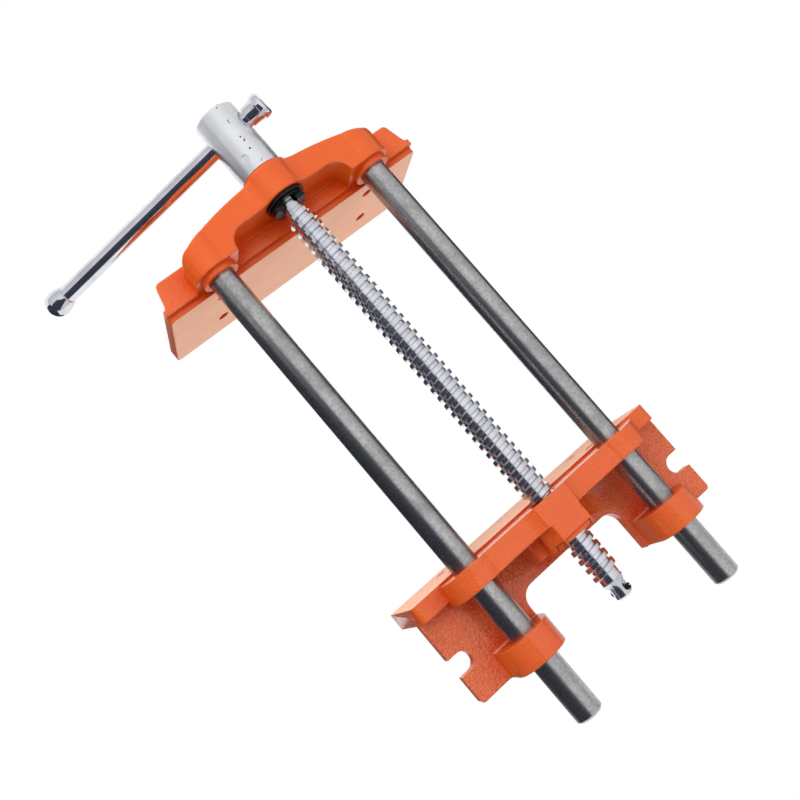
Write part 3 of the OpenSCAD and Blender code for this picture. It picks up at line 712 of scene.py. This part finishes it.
@dataclass
class LeadScrew:
    """The lead screw with its washers, clip and pin, and the spindle head."""

    pitch: float = 5.7 * MM
    crest_r: float = 8.0 * MM
    root_r: float = 6.2 * MM
    crest_share: float = 0.45
    foot_share: float = 0.7
    shank_r: float = 5.5 * MM
    groove_r: float = 4.8 * MM
    groove_at: tuple[float, float] = (39.5 * MM, 42.7 * MM)
    thread_from: float = 46.0 * MM
    tail_l: float = 11.0 * MM
    cone_r: float = 7.0 * MM
    cone_l: float = 3.5 * MM
    tail_r: float = 5.0 * MM
    chamfer: float = 1.0 * MM
    sides: int = 72
    low: Vector = field(init=False)
    high: Vector = field(init=False)
    thread_start: float = field(init=False)
    thread_end: float = field(init=False)
    axis_z: float = field(init=False)
    turns: int = field(init=False)
    first: float = field(init=False)

    def build(self) -> None:
        """Cuts the smooth thread and dresses the screw's pieces."""
        self.low, self.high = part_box("lead_screw")
        self.thread_start = self.low[1] + self.thread_from
        self.thread_end = self.high[1] - self.tail_l
        self.axis_z = (self.low[2] + self.high[2]) / 2
        length = self.thread_end - self.thread_start
        self.turns = math.floor(length / self.pitch - self.foot_share)
        self.first = self.thread_start + (length - (self.turns + self.foot_share) * self.pitch) / 2
        screw = self.screw()
        screw.data.materials.append(BrightPlate("bright_thread", smooth=0.10, dull=0.24).material())
        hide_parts("lead_screw")
        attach(screw, Body.SCREW.value)
        zinc = SatinZinc("zinc_head", edge_radius=0.12 * MM).material()
        dress("spindle_head", zinc)
        dress("head_pin", SatinZinc("zinc_pin", edge_radius=0.05 * MM).material())
        black = BlackOxide("black_oxide").material()
        for node in ("thrust_washer", "spring_washer", "neck_clip", "tail_pin"):
            dress(node, black)

    def thread_radius(self, place: float, turn: float) -> float:
        """Finds the radius of the threaded part.

        Args:
            place: Place along Y.
            turn: Angle round the axis as a share of a full turn, from 0 to 1.

        Returns:
            The radius there.
        """
        along = (place - self.first) / self.pitch - turn
        share = along - math.floor(along)
        wound = math.floor(along) + turn
        flank = (self.foot_share - self.crest_share) / 2
        rise = min(share, self.foot_share - share) / flank
        fade = min(wound, self.turns - wound) * 6.0
        height = max(0.0, min(1.0, rise)) * max(0.0, min(1.0, fade))
        return self.root_r + (self.crest_r - self.root_r) * height

    def bends(self) -> list[float]:
        """Lists where the thread's outline bends, over its whole length and two pitches more.

        Returns:
            The places along Y.
        """
        foot = self.foot_share
        flank = (foot - self.crest_share) / 2
        shares = (0.0, flank, foot / 2, foot - flank, foot, (1.0 + foot) / 2)
        turns = range(-2, self.turns + 2)
        return [self.first + (turn + share) * self.pitch for turn in turns for share in shares]

    def wind(self, shape: bmesh.types.BMesh) -> None:
        """Winds the line of bends through one turn and one pitch, into a tube.

        Args:
            shape: The shape to build in.
        """
        line = [shape.verts.new((self.root_r, place, self.axis_z)) for place in self.bends()]
        edges = [shape.edges.new(pair) for pair in zip(line, line[1:])]
        bmesh.ops.spin(shape, geom=line + edges, cent=(0.0, 0.0, self.axis_z), axis=(0.0, 1.0, 0.0),
                       dvec=(0.0, self.pitch / self.sides, 0.0), angle=math.tau, steps=self.sides)
        bmesh.ops.remove_doubles(shape, verts=shape.verts, dist=0.02 * MM)

    def raise_thread(self, shape: bmesh.types.BMesh) -> None:
        """Raises the thread on the tube and squares off the tube's ends.

        Args:
            shape: The shape that holds the tube.
        """
        for vert in shape.verts:
            across, place, rise = vert.co.x, vert.co.y, vert.co.z - self.axis_z
            turn = math.atan2(-rise, across) / math.tau % 1.0
            scale = self.thread_radius(place, turn) / math.hypot(across, rise)
            inside = min(max(place, self.thread_start), self.thread_end)
            vert.co = (across * scale, inside, self.axis_z + rise * scale)
        bmesh.ops.remove_doubles(shape, verts=shape.verts, dist=0.001 * MM)

    def finish_end(
        self, shape: bmesh.types.BMesh, place: float, steps: list[tuple[float, float]]
    ) -> None:
        """Carries the tube's open edge on through turned steps and closes it.

        Args:
            shape: The shape that holds the tube.
            place: Place of the open edge along Y.
            steps: Places along Y with the radius at each.
        """
        rim = 0.01 * MM
        edges = [edge for edge in shape.edges if edge.is_boundary and abs(edge.verts[0].co.y - place) < rim]
        for along, radius in steps:
            made = bmesh.ops.extrude_edge_only(shape, edges=edges)["geom"]
            for vert in (piece for piece in made if isinstance(piece, bmesh.types.BMVert)):
                across, rise = vert.co.x, vert.co.z - self.axis_z
                scale = radius / math.hypot(across, rise)
                vert.co = (across * scale, along, self.axis_z + rise * scale)
            edges = [piece for piece in made if isinstance(piece, bmesh.types.BMEdge)]
        bmesh.ops.edgeloop_fill(shape, edges=edges)

    def screw(self) -> bpy.types.Object:
        """Builds the screw.

        Returns:
            The screw with its single-start thread, shank and tail.
        """
        shape = bmesh.new()
        self.wind(shape)
        self.raise_thread(shape)
        start, end = self.low[1], self.high[1]
        groove = [start + place for place in self.groove_at]
        self.finish_end(shape, self.thread_start, [
            (self.thread_start, self.shank_r), (groove[1], self.shank_r), (groove[1], self.groove_r),
            (groove[0], self.groove_r), (groove[0], self.shank_r), (start, self.shank_r)])
        self.finish_end(shape, self.thread_end, [
            (self.thread_end, self.cone_r), (self.thread_end + self.cone_l, self.tail_r),
            (end - self.chamfer, self.tail_r), (end, self.tail_r - self.chamfer)])
        return as_object(shape, "screw_thread", 30.0)


@dataclass
class Handle:
    """The sliding bar with its two knobs."""

    tilt: float = math.radians(26.7)
    screw_z: float = -33.0 * MM
    bar_r: float = 5.25 * MM
    long_end: float = 140.0 * MM
    short_end: float = 22.5 * MM
    knob_r: float = 7.72 * MM
    lip_r: float = 6.2 * MM
    long_lip: float = 7.5 * MM
    long_tip: float = 6.97 * MM
    short_lip: float = 8.0 * MM
    short_tip: float = 4.47 * MM
    edge_r: float = 2.5 * MM
    steps: int = 20
    sides: int = 72

    def build(self) -> None:
        """Turns the two knobs and dresses them and the bar."""
        plate = BrightPlate("mirror_plate", smooth=0.04, dull=0.09, wave=0.002 * MM).material()
        dress("handle_bar", plate)
        low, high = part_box("handle_bar")
        middle = Matrix.Translation((0.0, (low.y + high.y) / 2, self.screw_z))
        along = middle @ Matrix.Rotation(self.tilt - math.pi / 2, 4, "Y")
        far = along @ Matrix.Translation((0.0, 0.0, self.long_end))
        near = along @ Matrix.Translation((0.0, 0.0, -self.short_end)) @ Matrix.Rotation(math.pi, 4, "X")
        self.knob("handle_knob_long", self.long_outline(), far, plate)
        self.knob("handle_knob_short", self.short_outline(), near, plate)

    def quarter(self) -> list[float]:
        """Lists evenly spaced angles of a quarter turn.

        Returns:
            The angles from 0 to a right angle.
        """
        return [math.pi / 2 * index / self.steps for index in range(self.steps + 1)]

    def long_outline(self) -> list[tuple[float, float]]:
        """Draws the egg-shaped knob.

        Returns:
            Its radius and height, from its lip to its tip.
        """
        grow = self.knob_r - self.lip_r
        right_angle = math.pi / 2
        swell = [
            (self.lip_r + grow * math.sin(a), -self.long_lip * (1.0 - a / right_angle))
            for a in self.quarter()
        ]
        return swell + [(self.knob_r * math.cos(a), self.long_tip * math.sin(a)) for a in self.quarter()[1:]]

    def short_outline(self) -> list[tuple[float, float]]:
        """Draws the flared knob.

        Returns:
            Its radius and height, from its lip to its flat end.
        """
        grow, flat, rim = self.knob_r - self.lip_r, self.knob_r - self.edge_r, self.short_tip - self.edge_r
        flare = [
            (self.lip_r + grow * (1.0 - math.cos(a)), self.short_lip * (math.sin(a) - 1.0))
            for a in self.quarter()
        ]
        edge = [(flat + self.edge_r * math.cos(a), rim + self.edge_r * math.sin(a)) for a in self.quarter()]
        return flare + edge + [(0.0, self.short_tip)]

    def knob(
        self, node: str, outline: list[tuple[float, float]], place: Matrix, finish: bpy.types.Material
    ) -> None:
        """Turns one knob, bored for the bar's end.

        Args:
            node: The solid it stands for.
            outline: Its radius and height from the lip to the tip.
            place: Its place and turn.
            finish: Its material.
        """
        lip = outline[0][1]
        points = [(0.0, 0.0), (self.bar_r, 0.0), (self.bar_r, lip), *outline]
        shape = bmesh.new()
        line = [shape.verts.new((radius, 0.0, height)) for radius, height in points]
        edges = [shape.edges.new(pair) for pair in zip(line, line[1:])]
        bmesh.ops.spin(shape, geom=line + edges, cent=(0.0, 0.0, 0.0), axis=(0.0, 0.0, 1.0), angle=math.tau,
                       steps=self.sides, use_merge=True)
        bmesh.ops.remove_doubles(shape, verts=shape.verts, dist=0.001 * MM)
        bmesh.ops.transform(shape, matrix=place, verts=shape.verts)
        knob = as_object(shape, f"turned_{node}", 40.0)
        knob.data.materials.append(finish)
        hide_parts(node)
        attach(knob, Body.HANDLE.value)


@dataclass
class NutWorks:
    """The half nut with its pivot, spring and cover screws."""

    def build(self) -> None:
        """Dresses the nut's pieces."""
        dress("half_nut", DrawnSteel("nut_iron", mottle=500.0, depth=0.12 * MM).material())
        plate = BrightPlate("bright_small").material()
        dress("nut_pivot_pin", plate)
        dress("nut_spring", plate)
        dress("cover_screws", BlackOxide("black_screws").material())


@dataclass
class Studio:
    """Pale floor, white surroundings, soft lamps and the camera."""

    camera_at: Colour = (-173.1 * MM, -78.65 * MM, -539.0 * MM)
    view_turn: Colour = (-0.1976315, -0.2526792, -0.6883464)
    focal_px: float = 994.66
    centre_px: tuple[float, float] = (6.42, -13.67)
    frame_px: float = 800.0
    film: float = 36.0
    floor_z: float = -0.95
    floor_size: float = 40.0
    white: Colour = (1.0, 1.0, 1.0)
    ambient: float = 0.7
    cards: tuple[tuple[float, float, float, float, float], ...] = (
        (-0.16, -0.35, 0.03, 1.0, 0.84),
        (-0.75, -0.75, -0.45, 1.5, 1.5),
        (-0.56, -0.56, -1.19, 0.9, 0.9),
        (0.56, 0.56, -1.19, 0.9, 0.9),
    )

    def build(self) -> None:
        """Builds the whole studio."""
        self.build_camera()
        self.build_world()
        self.build_floor()
        self.build_lamps()
        self.build_cards()
        bpy.context.scene.view_settings.view_transform = "Standard"

    def view_matrix(self) -> Matrix:
        """Works out where the camera stands.

        Returns:
            The camera's place and turn.
        """
        turn = Vector(self.view_turn)
        seen = Matrix.Rotation(turn.length, 3, turn)
        matrix = (seen.transposed() @ Matrix.Diagonal((1.0, -1.0, -1.0))).to_4x4()
        matrix.translation = self.camera_at
        return matrix

    def build_camera(self) -> None:
        """Adds the camera at the photograph's viewing angle."""
        data = bpy.data.cameras.new("camera")
        data.sensor_width = self.film
        data.lens = self.focal_px / self.frame_px * self.film
        data.shift_x = -self.centre_px[0] / self.frame_px
        data.shift_y = self.centre_px[1] / self.frame_px
        data.clip_start = 0.01
        data.clip_end = 100.0
        camera = bpy.data.objects.new("camera", data)
        camera.matrix_world = self.view_matrix()
        bpy.context.collection.objects.link(camera)
        bpy.context.scene.camera = camera

    def build_world(self) -> None:
        """Makes surroundings that look white and light the vise at a plain level."""
        world = bpy.data.worlds.new("surroundings")
        world.use_nodes = True
        tree = world.node_tree
        tree.nodes.clear()
        output = tree.nodes.new("ShaderNodeOutputWorld")
        background = tree.nodes.new("ShaderNodeBackground")
        background.inputs["Color"].default_value = (*self.white, 1.0)
        rays = tree.nodes.new("ShaderNodeLightPath")
        seen = tree.nodes.new("ShaderNodeMath")
        seen.operation = "MAXIMUM"
        seen_through = tree.nodes.new("ShaderNodeMath")
        seen_through.operation = "MAXIMUM"
        strength = tree.nodes.new("ShaderNodeMapRange")
        strength.inputs["To Min"].default_value = self.ambient
        strength.inputs["To Max"].default_value = 1.0
        tree.links.new(rays.outputs["Is Camera Ray"], seen.inputs[0])
        tree.links.new(rays.outputs["Is Glossy Ray"], seen.inputs[1])
        tree.links.new(seen.outputs[0], seen_through.inputs[0])
        tree.links.new(rays.outputs["Is Transmission Ray"], seen_through.inputs[1])
        tree.links.new(seen_through.outputs[0], strength.inputs["Value"])
        tree.links.new(strength.outputs["Result"], background.inputs["Strength"])
        tree.links.new(background.outputs[0], output.inputs["Surface"])
        bpy.context.scene.world = world

    def sheet(self, name: str, size: tuple[float, float], place: Matrix) -> bpy.types.Object:
        """Adds a flat rectangle of the stage.

        Args:
            name: Name of the object.
            size: Its two sides.
            place: Its place and turn.

        Returns:
            The new object.
        """
        shape = bmesh.new()
        bmesh.ops.create_grid(shape, x_segments=1, y_segments=1, size=0.5)
        bmesh.ops.scale(shape, vec=(*size, 1.0), verts=shape.verts)
        mesh = bpy.data.meshes.new(name)
        shape.to_mesh(mesh)
        shape.free()
        sheet = bpy.data.objects.new(name, mesh)
        sheet.matrix_world = place
        bpy.context.collection.objects.link(sheet)
        return sheet

    def build_floor(self) -> None:
        """Lays the pale floor."""
        bench = NodeBench("pale_floor")
        bench.surface(Base_Color=(0.86, 0.86, 0.86), Roughness=0.9)
        level = Matrix.Translation((0.0, 0.0, self.floor_z))
        floor = self.sheet("floor", (self.floor_size, self.floor_size), level)
        floor.data.materials.append(bench.material)

    def aimed(self, right: float, up: float, back: float) -> Matrix:
        """Finds a place by the camera that faces the vise.

        Args:
            right: Distance to the camera's right.
            up: Distance above it.
            back: Distance behind it.

        Returns:
            A matrix whose -Z looks at the middle of the vise.
        """
        return self.facing(self.view_matrix() @ Vector((right, up, back)))

    def facing(self, place: Vector) -> Matrix:
        """Turns something at a place towards the vise.

        Args:
            place: The place.

        Returns:
            A matrix whose -Z looks at the middle of the vise.
        """
        aim = Vector((0.0, -120.0 * MM, -20.0 * MM)) - place
        matrix = aim.to_track_quat("-Z", "Y").to_matrix().to_4x4()
        matrix.translation = place
        return matrix

    def lamp(self, name: str, place: Matrix, size: float, power: float, glossy: bool = False) -> None:
        """Adds a soft square lamp.

        Args:
            name: Name of the lamp.
            place: Its place and turn.
            size: Its side.
            power: Its power in watts.
            glossy: Whether it shows in reflections.
        """
        data = bpy.data.lights.new(name, "AREA")
        data.shape = "SQUARE"
        data.size = size
        data.energy = power
        lamp = bpy.data.objects.new(name, data)
        lamp.matrix_world = place
        lamp.visible_glossy = glossy
        bpy.context.collection.objects.link(lamp)

    def build_lamps(self) -> None:
        """Hangs the soft lamps."""
        self.lamp("key_lamp", self.aimed(-0.35, 0.30, 0.15), 0.5, 2.8)
        self.lamp("fill_lamp", self.aimed(0.7, 0.35, 0.1), 0.6, 2.0)
        over = Matrix.Translation((0.1, 0.1, 1.2))
        self.lamp("top_lamp", over, 1.2, 10.0)
        self.lamp("rim_lamp", self.facing(Vector((-0.15, -1.1, -0.25))), 0.5, 5.0)

    def build_cards(self) -> None:
        """Stands dark cards beside the camera that draw the streaks in the bright metal."""
        bench = NodeBench("dark_card")
        bench.surface(Base_Color=(0.03, 0.034, 0.05), Roughness=1.0)
        for index, (right, up, back, wide, high) in enumerate(self.cards):
            card = self.sheet(f"dark_card_{index}", (wide, high), self.aimed(right, up, back))
            card.data.materials.append(bench.material)
            card.visible_camera = False
            card.visible_diffuse = False
            card.visible_shadow = False


def main() -> None:
    """Builds the vise's sub-assemblies in order, then the studio."""
    for assembly in (Castings(), GuideRods(), LeadScrew(), Handle(), NutWorks(), Studio()):
        assembly.build()
        LOG.info("built %s", type(assembly).__name__)


if __name__ == "__main__":
    logging.basicConfig(level=logging.INFO)
    main()
